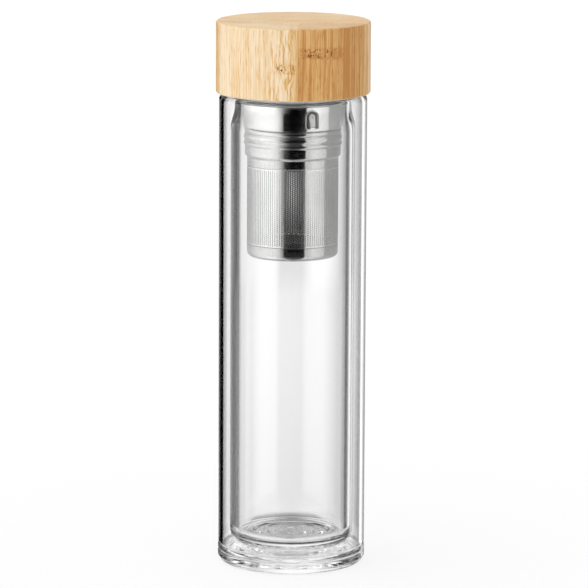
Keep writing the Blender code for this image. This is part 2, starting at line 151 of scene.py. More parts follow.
class Shade:
    """An output in a shader tree. Without an output it is only a way into its tree."""

    def __init__(self, tree, output=None):
        self.tree = tree
        self.output = output

    def node(self, kind, settings=None, inputs=None, output=0):
        """Adds a node: its settings first, then the values or links of its inputs."""
        made = self.tree.nodes.new(kind)
        for name, value in (settings or {}).items():
            if name == "stops":
                set_stops(made.color_ramp, value)
            else:
                setattr(made, name, value)
        fill(made.inputs, inputs or {})
        return Shade(self.tree, made.outputs[output]) if made.outputs else None

    def math(self, operation, *others):
        """A Math node on this value and the others, in that order."""
        inputs = dict(enumerate((self, *others)))
        return self.node("ShaderNodeMath", {"operation": operation}, inputs)

    def blend(self, share, first, second):
        """The colour first where share is 0, and second where it is 1."""
        factor, one, two, result = MIX_SOCKETS
        inputs = {factor: share, one: first, two: second}
        return self.node("ShaderNodeMix", {"data_type": "RGBA"}, inputs, result)

    def mix(self, first, second):
        """The colour first where this value is 0, and second where it is 1."""
        return self.blend(self, first, second)

    def between(self, low, high):
        """0 below low, 1 above high, and smooth between them."""
        steps = {"From Min": low, "From Max": high, "Value": self}
        return self.node("ShaderNodeMapRange", {"interpolation_type": "SMOOTHSTEP"}, steps)

    def reaches(self, count):
        """1 where a whole number, such as a number of bounces, is at least count."""
        return self.between(count - 0.6, count - 0.4)

    def part(self, axis):
        """The x, y or z of a vector."""
        return self.node("ShaderNodeSeparateXYZ", {}, {0: self}, axis)

    def __add__(self, other):
        return self.math("ADD", other)

    def __sub__(self, other):
        return self.math("SUBTRACT", other)

    def __mul__(self, other):
        return self.math("MULTIPLY", other)

    def __truediv__(self, other):
        return self.math("DIVIDE", other)

    def __rsub__(self, other):
        return self * -1 + other

    def __rtruediv__(self, other):
        return self.math("POWER", -1) * other

    __radd__ = __add__
    __rmul__ = __mul__


def fill(sockets, values):
    """Gives each named socket its value, or the link that feeds it."""
    for name, value in values.items():
        if isinstance(value, Shade):
            value.tree.links.new(value.output, sockets[name])
        else:
            sockets[name].default_value = value


def grey(level):
    """A grey colour. The last number is its alpha."""
    return (level, level, level, 1)


def srgb(red, green, blue):
    """A colour as a picture stores it, 0 to 255, turned into the renderer's linear values."""
    shares = (red / 255, green / 255, blue / 255)
    linear = (s / 12.92 if s <= 0.04045 else ((s + 0.055) / 1.055) ** 2.4 for s in shares)
    return (*linear, 1)


def set_stops(ramp, stops):
    """Fills a colour ramp from (place, colour) pairs; a plain number stands for a grey."""
    while len(ramp.elements) > 1:
        ramp.elements.remove(ramp.elements[-1])
    for index, (place, colour) in enumerate(stops):
        stop = ramp.elements[0] if index == 0 else ramp.elements.new(place)
        stop.position = place
        stop.color = colour if isinstance(colour, tuple) else grey(colour)


# %% [markdown]
# ## The studio
# Clear glass and polished steel have no colour of their own: what the eye reads is the
# studio round them. White cards make them bright, and black flags draw the dark lines
# down the edges. Here the studio is the world, as brightness by bearing: 0 degrees is
# behind the bottle, minus is to the viewer's left, 180 is behind the viewer. Heights are
# how far a ray rises, from -1 straight down to 1 straight up. Light Path tells the rays
# apart: those that pass straight through see white paper, those that the glass mirrors
# see the table, the room or the lamps, those that come back out from the steel through
# both walls see the soft boxes, and matt wood is lit by a plain soft light.

# %% Heights in the studio
BRIGHTEST = 2.4
TABLE_EDGE = math.sin(math.radians(-10.2))
TABLE_EDGE_BLUR = 0.004
TABLE_NEAR = (-0.42, -0.28)
CEILING = (0.12, 0.42)
TABLE_LEVEL = 0.85
PAPER_LOW = (-0.245, -0.185)
PAPER_LOSS = 0.14
WALLS_PASSED = 7
BOX_FOOT = (math.sin(math.radians(-8.47)), math.sin(math.radians(-8.41)))
BOXES_NEAR = (-0.56, -0.47)
NEAR_SHARE, NEAR_LEVEL = 0.1, 0.8
HIGH_SHARE, HIGH_LEVEL = 0.2, 0.3

# %% [markdown]
# ## Brightness by bearing
# Each list is one ring. ROOM is above the table's edge and TABLE below it, with the same
# cards behind the bottle, and LAMPS are over both. PAPER and UNDER show through the glass,
# level and steeply down. HIGH_BOXES and LOW_BOXES show in the steel, and MATT_LIGHT falls
# on the bamboo.

# %% The rings of the studio
BACK_STUDIO = [(-60, 1.1), (-57, 0.02), (-50, 0), (-14, 0), (-9, 0.55), (-1, 0.75), (3, 0.5),
               (8, 0.05), (13, 0.35), (18, 0.65), (22, 0.2), (28, 1.6), (34, 1.2), (40, 0.3),
               (44, 0.04), (60, 0.04)]
ROOM = [(-180, 0.004), (-159, 0.004), (-152, 0.8), (-138, 1), (-75, 1)] + BACK_STUDIO + [
    (66, 0.5), (78, 0.3), (92, 0.4), (104, 0.8), (128, 1), (146, 0.8), (150, 0.5), (152, 0.004)]
PAPER = [(-180, 1), (-90, 1), (-60, 0.85), (-30, 0.8), (-19, 0.9), (-15, 0.93), (-11, 1),
         (5, 1), (10, 0.9), (12.7, 0.855), (16, 0.77), (21, 0.64), (30, 0.5), (50, 0.55),
         (80, 0.95)]
UNDER = [(-180, 0.75), (-8, 0.72), (-6, 0.26), (3, 0.26), (4.5, 0.72)]
LAMPS = [(-180, 0), (-158, 0), (-152, 1.9), (-100, 2.2), (-92, 0.05), (-30, 0.02), (-24, 1.6),
         (16, 1.6), (22, 0.02), (84, 0.05), (92, 1.9), (150, 1.6), (153, 0)]
TABLE = [(-180, 0.78), (-120, 0.95), (-106, 0.9), (-98, 0.2), (-92, 0.05), (-84, 1.5), (-79, 1.9),
         (-72, 0.5)] + BACK_STUDIO + [
    (68, 1.5), (74, 0.8), (79, 0.05), (98, 0.1), (112, 0.4), (150, 0.55)]
BOX_BACKS = [(-30, 0.5), (40, 0.45), (62, 0.42), (96, 0.42)]
HIGH_BOXES = [(-180, 0), (-174, 0.01), (-165, 0.14), (-155, 0.62), (-144, 1.3), (-128, 1.85),
              (-108, 1.9), (-80, 1.5), (-58, 0.85)] + BOX_BACKS + [
    (100, 1.05), (125, 1.35), (149, 1.2), (152, 0.006)]
LOW_BOXES = [(-180, 0), (-160, 0.002), (-157, 0.5), (-149, 1.15), (-136, 1.4), (-108, 1.45),
             (-80, 1.2), (-58, 0.75)] + BOX_BACKS + [
    (100, 0.95), (125, 1.2), (149.5, 1.05), (151.5, 0.004)]
MATT_LIGHT = [(-180, 0.96), (-120, 1.3), (-60, 1.2), (0, 0.9), (60, 0.62), (120, 0.64)]


def bearing_stops(levels):
    """Ramp stops over a whole turn, which ends with the brightness that it starts with."""
    ring = levels + [(180, levels[0][1])]
    return [(degrees / 360 + 0.5, level / BRIGHTEST) for degrees, level in ring]


def card(level):
    """A plain card, on the same scale as the ramps."""
    return grey(level / BRIGHTEST)


# %% The world
def studio_world():
    world = bpy.data.worlds.new("studio")
    bpy.context.scene.world = world
    world.use_nodes = True
    world.cycles.sampling_method = "NONE"
    tree = world.node_tree
    tree.nodes.clear()
    shade = Shade(tree)
    ray = shade.node("ShaderNodeTexCoord", output="Generated")
    across, away, up = (ray.part(axis) for axis in "XYZ")
    bearing = across.math("ARCTAN2", away) / TURN + 0.5
    paper, under, room, lamps, table, high_boxes, low_boxes, matt_light = (
        shade.node("ShaderNodeValToRGB", {"stops": bearing_stops(levels)}, {0: bearing})
        for levels in (PAPER, UNDER, ROOM, LAMPS, TABLE, HIGH_BOXES, LOW_BOXES, MATT_LIGHT))
    is_camera, mirrored, scattered, passed = (
        shade.node("ShaderNodeLightPath", output=name)
        for name in ("Is Camera Ray", "Glossy Depth", "Diffuse Depth", "Transmission Depth"))
    above = up.between(TABLE_EDGE - TABLE_EDGE_BLUR, TABLE_EDGE + TABLE_EDGE_BLUR)
    lower = up.between(*TABLE_NEAR).mix(card(TABLE_LEVEL), above.mix(table, room))
    by_glass = up.between(*CEILING).mix(lower, lamps)
    boxes = up.between(*BOX_FOOT).mix(low_boxes, high_boxes)
    near = up.between(*BOXES_NEAR).mix(shade.blend(NEAR_SHARE, high_boxes, card(NEAR_LEVEL)), boxes)
    by_steel = up.between(*CEILING).mix(near, shade.blend(HIGH_SHARE, high_boxes, card(HIGH_LEVEL)))
    studio = passed.reaches(WALLS_PASSED).mix(by_glass, by_steel)
    paper = up.between(*PAPER_LOW).mix(shade.blend(PAPER_LOSS, paper, card(0)), paper)
    paper = up.between(*TABLE_NEAR).mix(under, paper)
    seen = mirrored.reaches(1).mix(paper, studio)
    seen = scattered.reaches(1).mix(seen, matt_light)
    light = shade.node("ShaderNodeBackground", {}, {"Color": seen, "Strength": BRIGHTEST})
    white = shade.node("ShaderNodeBackground", {}, {"Color": grey(1), "Strength": 1.0})
    both = shade.node("ShaderNodeMixShader", {}, {0: is_camera, 1: light, 2: white})
    shade.node("ShaderNodeOutputWorld", {}, {"Surface": both})


studio_world()
print("studio:", len(ROOM), "bearings above the table,", len(TABLE), "on it")

# %% [markdown]
# ## The floor
# The picture has a pure white ground. The floor is mostly a white glow for the camera,
# with a share of matt white left in it near the bottle, which carries its soft shadow.
# Rays that come from the glass or the steel pass it, because the world holds the table.

# %% The floor
FLOOR_REACH = 8.0
FLOOR_GLOW = 0.80
FLOOR_WHITE = 0.92
GLOW_LEVEL = 1.03
SHADOW_REACH = (0.1, 0.5)


def floor_material():
    made = bpy.data.materials.new("studio_floor")
    made.use_nodes = True
    made.node_tree.nodes.clear()
    shade = Shade(made.node_tree)
    matt = shade.node("ShaderNodeBsdfDiffuse", {}, {"Color": grey(FLOOR_WHITE)})
    glow = shade.node("ShaderNodeEmission", {}, {"Color": grey(1), "Strength": GLOW_LEVEL})
    camera_ray, glossy, through = (shade.node("ShaderNodeLightPath", output=f"Is {kind} Ray")
                                   for kind in ("Camera", "Glossy", "Transmission"))
    place = shade.node("ShaderNodeTexCoord", output="Object")
    away = shade.node("ShaderNodeVectorMath", {"operation": "LENGTH"}, {0: place}, "Value")
    share = camera_ray * (away.between(*SHADOW_REACH) * (1 - FLOOR_GLOW) + FLOOR_GLOW)
    shown = shade.node("ShaderNodeMixShader", {}, {0: share, 1: matt, 2: glow})
    clear = shade.node("ShaderNodeBsdfTransparent")
    passed = glossy.math("MAXIMUM", through)
    both = shade.node("ShaderNodeMixShader", {}, {0: passed, 1: shown, 2: clear})
    shade.node("ShaderNodeOutputMaterial", {}, {"Surface": both})
    return made


def studio_floor():
    mesh = bpy.data.meshes.new("studio_floor")
    reach = FLOOR_REACH
    corners = [(-reach, -reach, 0), (reach, -reach, 0), (reach, reach, 0), (-reach, reach, 0)]
    mesh.from_pydata(corners, [], [(0, 1, 2, 3)])
    mesh.materials.append(floor_material())
    made = add_object("studio_floor", mesh)


studio_floor()
print(f"floor {2 * FLOOR_REACH:.0f} m across")

# %% [markdown]
# ## Turned shapes
# Nearly every part of the bottle is turned or drawn round one axis, so one helper spins
# a profile of radius and height. It builds the rings itself instead of using a Screw
# modifier, because then a thread can push single points out as the ring passes them.
# A profile that runs up the outside faces out; one that runs down a bore faces in.

# %% Helpers for turned shapes
SHARP = math.radians(40)


def angles_round(count):
    """Evenly spaced angles over a whole turn."""
    return [TURN * step / count for step in range(count)]


def about_axis(radius, angle, height):
    """The point at a radius and an angle about the bottle's axis."""
    return Vector((radius * math.cos(angle), radius * math.sin(angle), height))


def arc(radius, height, rounding, first, last, steps=6):
    """Points of a round corner about (radius, height), from angle first to last in degrees."""
    angles = [math.radians(first + (last - first) * step / steps) for step in range(steps + 1)]
    return [(radius + rounding * math.cos(a), height + rounding * math.sin(a)) for a in angles]


def rounded(radius, height, rounding, first, last, steps=6):
    """A quarter round in place of the square corner at (radius, height)."""
    middle = math.radians((first + last) / 2)
    across = math.copysign(rounding, math.cos(middle))
    up = math.copysign(rounding, math.sin(middle))
    return arc(radius - across, height - up, rounding, first, last, steps)


def curve(steps, place):
    """Points along a curve: place(share) gives each, for shares from 0 to 1."""
    return [place(step / steps) for step in range(steps + 1)]


def ease(share):
    """Goes from 0 to 1 with a soft start and a soft end."""
    return share * share * (3 - 2 * share)


def neighbours(items, closed=True):
    """Each item with the next one, and where the row is closed, the last with the first."""
    return zip(items, items[1:] + (items[:1] if closed else []))


def supported(profile, closed, reach=0.25 * MM):
    """Adds a point near each end of a long straight, so that it shades as a straight."""
    points = []
    for start, end in neighbours(profile, closed):
        points.append(start)
        length = math.dist(start, end)
        if length > 4 * reach:
            for share in (reach / length, 1 - reach / length):
                points.append(tuple(a + (b - a) * share for a, b in zip(start, end)))
    return points if closed else points + profile[-1:]


def bridge(shape, low, high):
    """Faces between two rings. A ring of one point is a pole on the axis."""
    count = max(len(low), len(high))
    for step in range(count if count > 1 else 0):
        after = (step + 1) % count
        corners = [low[step % len(low)], low[after % len(low)],
                   high[after % len(high)], high[step % len(high)]]
        shape.faces.new(list(dict.fromkeys(corners)))


def spin_profile(shape, profile, sides, closed=False, swell=None):
    """Adds a turned surface to a bmesh. swell(angle, height) moves a point outward."""
    rings = []
    for radius, height in supported(profile, closed):
        if radius == 0:
            rings.append([shape.verts.new((0, 0, height))])
            continue
        ring = []
        for angle in angles_round(sides):
            out = radius + (swell(angle, height) if swell else 0)
            ring.append(shape.verts.new(about_axis(out, angle, height)))
        rings.append(ring)
    for low, high in neighbours(rings, closed):
        bridge(shape, low, high)


def turned(profile, sides, closed=True):
    """A new bmesh with one turned surface."""
    shape = bmesh.new()
    spin_profile(shape, profile, sides, closed)
    return shape


def face_out(shape):
    """Turns all faces of a bmesh outward."""
    bmesh.ops.recalc_face_normals(shape, faces=shape.faces)


def add_shape(name, shape):
    """Turns a bmesh into an object."""
    mesh = bpy.data.meshes.new(name)
    shape.to_mesh(mesh)
    shape.free()
    return add_object(name, mesh)


def finish_piece(name, shape, surface, body, slot, *nodes, sharp=SHARP):
    """Turns a bmesh into a piece that rides on its body and stands for CAD nodes."""
    made = add_shape(name, shape)
    made.data.shade_smooth()
    if sharp:
        made.data.set_sharp_from_angle(angle=sharp)
    made.data.materials.append(surface)
    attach(made, body)
    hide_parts(*nodes)
    print(f"{name}: {len(made.data.polygons)} faces")
    return made


# %% [markdown]
# ## Clear glass
# Borosilicate tube is drawn from hot glass, so it is clear with faint waves that run
# along it. A Principled shader with full transmission bends the light; a stretched noise
# sets a bump so weak that it only bends the lines at the edges, as the real tube does.

# %% The glass material
GLASS_BEND = 1.45
DRAW_LINES = (90, 90, 7)
DRAW_DEPTH = 0.02 * MM


def new_material(name):
    """An empty Principled material: (material, place on the piece, shader's sockets)."""
    made = bpy.data.materials.new(name)
    made.use_nodes = True
    place = Shade(made.node_tree).node("ShaderNodeTexCoord", output="Object")
    return made, place, made.node_tree.nodes["Principled BSDF"].inputs


def stretched_noise(place, scale, detail):
    """Noise whose grain is stretched: scale is waves a metre along each axis."""
    spread = place.node("ShaderNodeMapping", {}, {"Vector": place, "Scale": scale})
    inputs = {"Vector": spread, "Scale": 1.0, "Detail": detail}
    return place.node("ShaderNodeTexNoise", {}, inputs)


def bump(height, distance, strength=1.0):
    """What the shader's Normal takes, from a height whose 1 stands out by distance."""
    inputs = {"Height": height, "Strength": strength, "Distance": distance}
    return height.node("ShaderNodeBump", {}, inputs)


def glass_material():
    made, place, sockets = new_material("borosilicate")
    waves = stretched_noise(place, DRAW_LINES, detail=1.0)
    fill(sockets, {"Base Color": grey(1), "Roughness": 0.0, "IOR": GLASS_BEND,
                   "Transmission Weight": 1.0, "Normal": bump(waves, DRAW_DEPTH)})
    return made


# %% [markdown]
# ## The double-walled bottle
# The real bottle is one piece of glass: a jacket and a thick liner, fused to each other
# at the shoulder and to a slab at the foot, with sealed air between them. The model had
# to keep them apart, so one fused piece stands for all three: an outside surface from
# the foot to the neck and down the bore, and an inside surface round the sealed air.

# %% Sizes of the glass
GLASS_SIDES = 224
SHOULDER_ROUNDING = 2.0 * MM
SHOULDER_WEB = 1.15 * MM
WEB_FILLET = 1.0 * MM
NECK_FILLET = 2.2 * MM
NECK_FOOT = 1.2 * MM
JACKET_FOOT = 1.6 * MM
NECK_WAIST = 5.7 * MM
NECK_TAPER = 8.3 * MM
LINER_OUTER_CORNER = 6.5 * MM
LINER_INNER_CORNER = 3.0 * MM
RIM_ROUNDING = 0.9 * MM
FOOT_RING = (21.5 * MM, 29.5 * MM)
FOOT_CORNER = 2.7 * MM
FOOT_SEAMS = (4.7 * MM, 8.0 * MM)
SEAM_DEPTH = 0.55 * MM
SEAM_BULGE = 0.15 * MM
SEAM_EASE = 0.5 * MM
SEAM_DIP = (0.1 * MM, 0.35 * MM, 1.1 * MM)
HOLLOW_DEPTH = 1.4 * MM
NUB_RADIUS = 3.5 * MM
NUB_DROP = 0.6 * MM
RIPPLE_ROW = 0.4 * MM
LINER_RIPPLE, LINER_RIPPLE_STEP = 0.28 * MM, 3.6 * MM
SLAB_RIPPLE, SLAB_RIPPLE_STEP = 0.25 * MM, 6.3 * MM
SWIRL_DEPTH = 0.6 * MM
SWIRL_REACH = 5.5 * MM
SWIRL_TWIST = 2.2
LINER_TIP = 0.8 * MM
LINER_TIP_RADIUS = 4.0 * MM
LINER_TIP_CLEAR = 4.6 * MM
TIP_SHARES = ((0, 1), (1 / 3, 0.9), (0.7, 0.3))

# %% The thread on the neck
THREAD_DEPTH = 1.3 * MM
THREAD_ROOT = 1.3 * MM
THREAD_CREST = 0.5 * MM
THREAD_LEAD = 12.0 * MM
THREAD_FIRST = 5.5 * MM
THREAD_STARTS = 2
THREAD_SWEEP = 0.75
THREAD_FADE = 0.06
THREAD_ROW = 0.3 * MM


def thread_swell(angle, height):
    """How far the neck's two ridges push a point out."""
    swell = 0.0
    for start in range(THREAD_STARTS):
        along = (angle / TURN - start / THREAD_STARTS) % 1
        middle = SHOULDER + THREAD_FIRST + THREAD_LEAD * along
        fade = min(1, along / THREAD_FADE, (THREAD_SWEEP - along) / THREAD_FADE)
        flank = (THREAD_ROOT - abs(height - middle)) / (THREAD_ROOT - THREAD_CREST)
        swell = max(swell, THREAD_DEPTH * max(0, fade) * min(1, max(0, flank)))
    return swell


# %% The profiles of the glass
def neck_curve(below, above):
    """One wall of the liner narrows into the neck along a smooth S, upward."""
    top = SHOULDER - NECK_WAIST
    return curve(14, lambda share: (below + (above - below) * ease(share),
                                    top - NECK_TAPER * (1 - share)))


def dome(depth, first, last):
    """A shallow hollow: from depth at radius first down to the table at radius last."""
    return curve(10, lambda share: (first + (last - first) * share,
                                    depth * math.cos(share * TURN / 4)))


def foot_band(low, high):
    """One bulging band of the foot between two fused seams."""
    root, swell = GLASS_RADIUS - SEAM_DEPTH, SEAM_DEPTH + SEAM_BULGE
    return curve(8, lambda share: (root + swell * math.sin(math.pi * share) ** 0.5,
                                   low + (high - low) * share))


def rippled(reach, level, depth, step):
    """A floor from radius reach in to the axis, with the faint rings that pressing leaves."""
    count = round(reach / RIPPLE_ROW)
    radii = [reach * (1 - row / count) for row in range(count + 1)]
    return [(radius, level + depth * (math.cos(TURN * (reach - radius) / step) - 1))
            for radius in radii]


def outside_profile():
    """From the hollow under the foot, up the jacket, over the neck's rim and down the bore."""
    nub = [(0, HOLLOW_DEPTH - NUB_DROP), (NUB_RADIUS / 2, HOLLOW_DEPTH - NUB_DROP * 0.8)]
    ring_start, ring_end = FOOT_RING
    points = nub + dome(HOLLOW_DEPTH, NUB_RADIUS, ring_start)
    points += arc(ring_end, FOOT_CORNER, FOOT_CORNER, -90, -10, 8)[:-1]
    low, high = FOOT_SEAMS
    bulged = GLASS_RADIUS + SEAM_BULGE
    points += [(bulged, FOOT_CORNER), (bulged, low - SEAM_EASE)] + foot_band(low, high)
    dip, dip_height, ease_height = SEAM_DIP
    points += [(GLASS_RADIUS - dip, high + dip_height), (GLASS_RADIUS, high + ease_height)]
    points += rounded(GLASS_RADIUS, SHOULDER, SHOULDER_ROUNDING, 0, 90, 12)
    points += rounded(NECK_RADIUS, SHOULDER, NECK_FOOT, -90, -180, 5)
    neck_start = SHOULDER + NECK_FOOT
    rows = int((RIM - RIM_ROUNDING - neck_start) / THREAD_ROW)
    points += [(NECK_RADIUS, neck_start + THREAD_ROW * row) for row in range(1, rows)]
    points += rounded(NECK_RADIUS, RIM, RIM_ROUNDING, 0, 90)
    points += rounded(NECK_BORE, RIM, RIM_ROUNDING, 90, 180)
    points += neck_curve(BORE, NECK_BORE)[::-1]
    floor = LINER_UNDER + LINER_FLOOR
    points += rounded(BORE, floor, LINER_INNER_CORNER, 0, -90, 14)
    return points + rippled(BORE - LINER_INNER_CORNER, floor, LINER_RIPPLE, LINER_RIPPLE_STEP)[1:]


def sealed_profile():
    """Round the sealed air: under and up the liner, out under the shoulder, down the jacket."""
    points = [(LINER_TIP_RADIUS * out, LINER_UNDER - LINER_TIP * drop) for out, drop in TIP_SHARES]
    under = rippled(LINER_RADIUS - LINER_OUTER_CORNER, LINER_UNDER + SLAB_RIPPLE, SLAB_RIPPLE,
                    LINER_RIPPLE_STEP)
    points += [point for point in under[:0:-1] if point[0] > LINER_TIP_CLEAR]
    points += rounded(LINER_RADIUS, LINER_UNDER, LINER_OUTER_CORNER, -90, 0, 14)
    points += neck_curve(LINER_RADIUS, NECK_RADIUS)
    inner = GLASS_RADIUS - JACKET_WALL
    web = SHOULDER - SHOULDER_WEB
    points += rounded(NECK_RADIUS, web, NECK_FILLET, 180, 90, 8)
    points += rounded(inner, web, WEB_FILLET, 90, 0, 8)
    points += rounded(inner, FOOT_TOP, JACKET_FOOT, 0, -90, 8)
    return points + rippled(inner - JACKET_FOOT, FOOT_TOP, SLAB_RIPPLE, SLAB_RIPPLE_STEP)[1:]


def stir(shape):
    """Twists the middle of the liner's floor into the scar that the glassblower's rod leaves."""
    floor = LINER_UNDER + LINER_FLOOR
    for vert in shape.verts:
        radius = vert.co.xy.length
        if radius < 2.5 * SWIRL_REACH and abs(vert.co.z - floor) < MM:
            phase = math.atan2(vert.co.y, vert.co.x) + radius / SWIRL_REACH * SWIRL_TWIST
            fade = math.exp(-(radius / SWIRL_REACH) ** 2) * min(1, radius / MM)
            vert.co.z += SWIRL_DEPTH * fade * math.cos(phase)


# %% The glass piece
def glass_bottle():
    shape = bmesh.new()
    spin_profile(shape, outside_profile(), GLASS_SIDES, swell=thread_swell)
    stir(shape)
    spin_profile(shape, sealed_profile(), GLASS_SIDES)
    finish_piece("double_wall_glass", shape, glass_material(), "bottle", "clear_glass",
                 "outer_glass", "inner_glass", "base_glass", sharp=None)


glass_bottle()

# %% [markdown]
# ## Polished steel
# The infuser is drawn from stainless sheet and polished while it spins, so it mirrors the
# studio with fine lines round it. The lines are a noise that changes fast up the wall and
# slowly round it, and it feeds only the bump. A second, cloudy noise makes the polish a
# little duller and darker in places, so that no wall is quite even.

# %% The steel materials
POLISH_LINES = (260, 260, 9000)
POLISH_DEPTH = 0.00003 * MM
STEEL_CLOUDS = (160, 160, 160)
STEEL_SPREAD = (0.3, 0.7)
STEEL_SHADE = 0.96
STEEL_ROUGH = (0.04, 0.09)


def clouded(cloud, spread, colour, share):
    """A colour that goes down to share of itself as the cloud goes over its spread."""
    red, green, blue, alpha = colour
    return cloud.between(*spread).mix(colour, (red * share, green * share, blue * share, alpha))


def steel_material(name, colour, rough=STEEL_ROUGH, shine=1.0):
    """Steel with fine lines. rough is its roughness where it is shiniest and dullest."""
    made, place, sockets = new_material(name)
    lines = stretched_noise(place, POLISH_LINES, detail=2.0)
    cloud = stretched_noise(place, STEEL_CLOUDS, detail=4.0)
    low, high = rough
    fill(sockets, {"Base Color": clouded(cloud, STEEL_SPREAD, colour, STEEL_SHADE),
                   "Metallic": shine, "Roughness": cloud * (high - low) + low,
                   "Normal": bump(lines, POLISH_DEPTH)})
    return made


POLISHED = steel_material("polished_steel", srgb(222, 222, 221))
ROLLED = steel_material("rolled_steel", srgb(200, 200, 199))
PRESSED = steel_material("pressed_steel", srgb(213, 213, 212), (0.05, 0.11))
PUNCHED = steel_material("punched_steel", srgb(236, 236, 235), (0.03, 0.07), 0.84)
SPRUNG = steel_material("sprung_steel", srgb(184, 184, 183), (0.12, 0.2), 0.9)
# Painted shade: this finish's dark colour stands for the shade in the groove behind the windows; its
# higher roughness is unpolished steel.
GROOVE_SHADE_STEEL = steel_material("groove_shade_steel", srgb(124, 124, 123), (0.3, 0.45), 0.85)
print("steel finishes from", POLISHED.name, "to", GROOVE_SHADE_STEEL.name)

# %% [markdown]
# ## The collar
# A plain tube hangs from the neck's rim by its flange. Three windows are punched in it,
# and the steel left inside each is a spring tongue that holds the basket. The punch turns
# the edge of the window out, so a thin bead runs round it and catches the light.

# %% Sizes of the collar
STEEL_SIDES = 192
TONGUES = 3
FIRST_TONGUE = math.radians(-69.3)
TONGUE_ANGLES = [FIRST_TONGUE + angle for angle in angles_round(TONGUES)]
WINDOW_HALF = 2.7 * MM
WINDOW_LOW = TONGUE_FOOT - 0.3 * MM
WINDOW_HIGH = TONGUE_TOP + 1.4 * MM
HOOK = 1.2 * MM
ROOT_HALF = 1.05 * MM
TONGUE_HALF = 1.5 * MM
EDGE_BEAD = 0.3 * MM
CUT_REACH = 2.0 * MM
COLLAR_BEND = 1.0 * MM
COLLAR_EDGE = 0.15 * MM
COLLAR_EDGE_INSIDE = 0.1 * MM
COLLAR_ROWS = (3 * MM, 6 * MM, 10 * MM)


def window_outline():
    """The punched window: a half round on top, and two slot ends that hook in to the root."""
    spring = WINDOW_HIGH - WINDOW_HALF
    curl = HOOK * 0.75
    top = arc(0, spring, WINDOW_HALF, 0, 180, 16)
    left = arc(curl - WINDOW_HALF, WINDOW_LOW + curl, curl, 180, 330, 8)
    right = [(-across, height) for across, height in reversed(left)]
    return top + left + right


# %% The collar
def on_wall(radius, angle, across, height):
    """A point on the collar's wall, from a distance across and a height."""
    return about_axis(radius, angle + across / COLLAR_RADIUS, height)


def window_cutter(index, angle):
    """A prism through the wall in the shape of the window."""
    shape = bmesh.new()
    rings = [[shape.verts.new(on_wall(radius, angle, *point)) for point in window_outline()]
             for radius in (COLLAR_RADIUS - CUT_REACH, COLLAR_RADIUS + CUT_REACH)]
    bridge(shape, *rings)
    shape.faces.new(reversed(rings[0]))
    shape.faces.new(rings[1])
    face_out(shape)
    return add_shape(f"window_cutter_{index}", shape)


def window_bead(shape, angle, sides=8):
    """A thin round bead that follows the window's edge on the wall."""
    rings = []
    points = [on_wall(COLLAR_RADIUS, angle, *point) for point in window_outline()]
    for index, point in enumerate(points):
        along = (points[(index + 1) % len(points)] - points[index - 1]).normalized()
        out = Vector((point.x, point.y, 0)).normalized()
        side = along.cross(out).normalized()
        rings.append([shape.verts.new(point + EDGE_BEAD * (math.cos(turn) * out + math.sin(turn) * side))
                      for turn in angles_round(sides)])
    for low, high in neighbours(rings):
        bridge(shape, low, high)


def bake_shape(piece):
    """Makes a piece's modifiers part of its mesh."""
    bpy.context.view_layer.update()
    graph = bpy.context.evaluated_depsgraph_get()
    shaped = bpy.data.meshes.new_from_object(piece.evaluated_get(graph))
    piece.modifiers.clear()
    piece.data = shaped


def cut_out(piece, cutters):
    """Cuts each cutter from the piece for good, and removes the cutters."""
    for cutter in cutters:
        change = piece.modifiers.new("cut", "BOOLEAN")
        change.operation, change.solver, change.object = "DIFFERENCE", "EXACT", cutter
    bake_shape(piece)
    for cutter in cutters:
        bpy.data.objects.remove(cutter)


def infuser_collar():
    bore = COLLAR_RADIUS - SHEET
    flange = FLANGE_TOP - SHEET
    bend = COLLAR_BEND / 2
    profile = [(bore, COLLAR_END + COLLAR_EDGE_INSIDE), (bore + COLLAR_EDGE, COLLAR_END),
               (COLLAR_RADIUS - COLLAR_EDGE, COLLAR_END)]
    profile += [(COLLAR_RADIUS, COLLAR_END + row) for row in (COLLAR_EDGE, *COLLAR_ROWS)]
    profile += [(COLLAR_RADIUS, flange - bend)]
    profile += rounded(COLLAR_RADIUS, flange, bend, 180, 90, 4)[1:]
    profile += arc(FLANGE_RADIUS - SHEET / 2, FLANGE_TOP - SHEET / 2, SHEET / 2, -90, 90)
    profile += rounded(bore, FLANGE_TOP, COLLAR_BEND, 90, 180, 5)
    tube = add_shape("collar_tube", turned(profile, STEEL_SIDES))
    cut_out(tube, [window_cutter(index, angle) for index, angle in enumerate(TONGUE_ANGLES, 1)])
    shape = bmesh.new()
    shape.from_mesh(tube.data)
    for angle in TONGUE_ANGLES:
        window_bead(shape, angle)
    bpy.data.objects.remove(tube)
    finish_piece("collar", shape, POLISHED, "infuser", "steel_sheet", "infuser_collar")


infuser_collar()

# %% [markdown]
# ## The spring tongues
# Each tongue is a strip of the collar's own wall with a round end. It narrows at its root,
# leans in a little, and has a small dimple near its end: when the basket is pulled, its rim
# pushes the tongue out and then clicks past it.

# %% The tongues
DIMPLE = 0.3 * MM
DIMPLE_REACH = 1.2 * MM
TONGUE_LEAN = 0.5 * MM
TONGUE_EDGE = 0.12 * MM
TONGUE_TIP_HALF = 0.02 * MM
TONGUE_SHARP = math.radians(50)
DIMPLE_DROP = 0.4 * MM
TONGUE_ROWS = 20
TONGUE_COLUMNS = 10


def tongue_half(height):
    """Half the tongue's width at a height."""
    spring = TONGUE_TOP - TONGUE_HALF
    if height > spring:
        return math.sqrt(max(0, TONGUE_HALF ** 2 - (height - spring) ** 2)) + TONGUE_TIP_HALF
    return ROOT_HALF + (TONGUE_HALF - ROOT_HALF) * ease(min(1, (height - TONGUE_FOOT) / HOOK))


